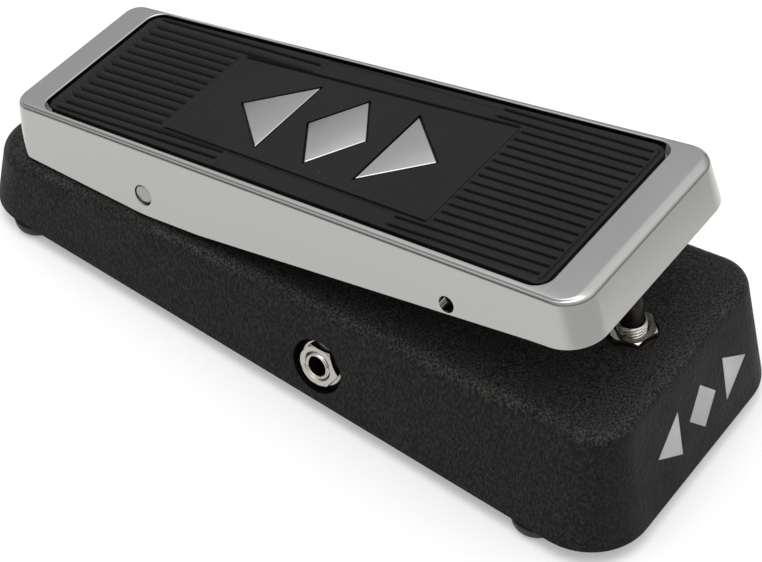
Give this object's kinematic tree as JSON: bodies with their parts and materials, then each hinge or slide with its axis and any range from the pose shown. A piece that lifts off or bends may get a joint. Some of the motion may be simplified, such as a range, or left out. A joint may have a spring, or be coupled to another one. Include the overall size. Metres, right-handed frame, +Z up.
{
  "type": "guitar effects pedal",
  "caption": "Rocker pedal: chromed treadle with a ribbed rubber mat on a black wedge housing, with a rack-driven control, toe switch and side jacks.",
  "frame": {"origin": "on the floor under the centre of the housing", "axes": "+Z up, +Y towards the toe, +X to the player's right (input jack side)"},
  "size_m": [0.1032, 0.254, 0.0875],
  "materials": {
    "housing_paint": "black crinkle paint",
    "treadle_chrome": "bright chrome plate",
    "emblem_chrome": "satin chrome",
    "nickel": "bright nickel plate",
    "steel": "zinc-plated steel",
    "dark_steel": "dark steel",
    "plate_steel": "black painted sheet",
    "mat_rubber": "matt moulded rubber",
    "foot_rubber": "matt rubber",
    "nylon": "natural nylon",
    "black_plastic": "moulded plastic",
    "board_green": "solder-resist green",
    "brass": "turned brass",
    "capacitor_film": "dipped film",
    "resistor_body": "lacquered",
    "lead_red": "wire insulation",
    "lead_black": "wire insulation"
  },
  "bodies": {
    "base": {"base_housing": "housing_paint", "bottom_plate": "plate_steel", "pivot_bushing_right": "nylon", "pivot_bushing_left": "nylon", "heel_bumper": "mat_rubber", "footswitch_washer": "nickel", "footswitch_nut": "nickel", "footswitch_bushing": "nickel", "footswitch_lock_nut": "steel", "footswitch_body": "black_plastic", "rack_guide": "nylon", "pot_body": "steel", "pot_nut": "nickel", "pot_bracket": "steel", "power_jack": "black_plastic", "circuit_board": "board_green", "board_standoff_1": "brass", "board_standoff_2": "brass", "board_standoff_3": "brass", "inductor": "capacitor_film", "transistor_1": "black_plastic", "transistor_2": "black_plastic", "film_capacitor_1": "capacitor_film", "film_capacitor_2": "capacitor_film", "film_capacitor_3": "capacitor_film", "electrolytic_capacitor": "black_plastic", "resistor_1": "resistor_body", "resistor_2": "resistor_body", "battery": "black_plastic", "battery_snap": "black_plastic", "battery_lead_red": "lead_red", "battery_lead_black": "lead_black", "foot_toe_right": "foot_rubber", "foot_screw_toe_right": "steel", "foot_toe_left": "foot_rubber", "foot_screw_toe_left": "steel", "foot_heel_right": "foot_rubber", "foot_screw_heel_right": "steel", "foot_heel_left": "foot_rubber", "foot_screw_heel_left": "steel", "input_jack_body": "black_plastic", "input_jack_bushing": "nickel", "input_jack_washer": "nickel", "input_jack_nut": "nickel", "output_jack_body": "black_plastic", "output_jack_bushing": "nickel", "output_jack_washer": "nickel", "output_jack_nut": "nickel"},
    "treadle": {"treadle_shell": "treadle_chrome", "treadle_mat": "mat_rubber", "emblem_heel_arrow": "emblem_chrome", "emblem_lozenge": "emblem_chrome", "emblem_toe_arrow": "emblem_chrome", "pivot_rod": "steel", "rack_pin": "steel", "switch_strike_pad": "mat_rubber"},
    "rack": {"rack": "nylon"},
    "pot_rotor": {"pinion": "nylon", "pot_shaft": "steel"},
    "plunger": {"switch_plunger": "dark_steel"}
  },
  "joints": [
    {"name": "treadle_rock", "type": "hinge", "parent": "base", "child": "treadle", "pos_m": [0, -0.0548, 0.0412], "axis": [1, 0, 0], "range_deg": [-8.6, 0]},
    {"name": "rack_slide", "type": "slide", "parent": "base", "child": "rack", "axis": [0, 0, 1], "range_m": [-0.018, 0]},
    {"name": "pot_turn", "type": "hinge", "parent": "base", "child": "pot_rotor", "pos_m": [0, 0.05355, 0.0282], "axis": [1, 0, 0], "range_deg": [-182, 0.5]},
    {"name": "plunger_press", "type": "slide", "parent": "base", "child": "plunger", "axis": [0, 0.0797, -0.9968], "range_m": [0, 0.0035], "stiffness_N_per_m": 1200, "springref_m": -0.001}
  ],
  "couplings": [
    {"joint": "rack_slide", "follows": "treadle_rock", "m_per_rad": 0.1172},
    {"joint": "pot_turn", "follows": "treadle_rock", "ratio": 20.929}
  ]
}
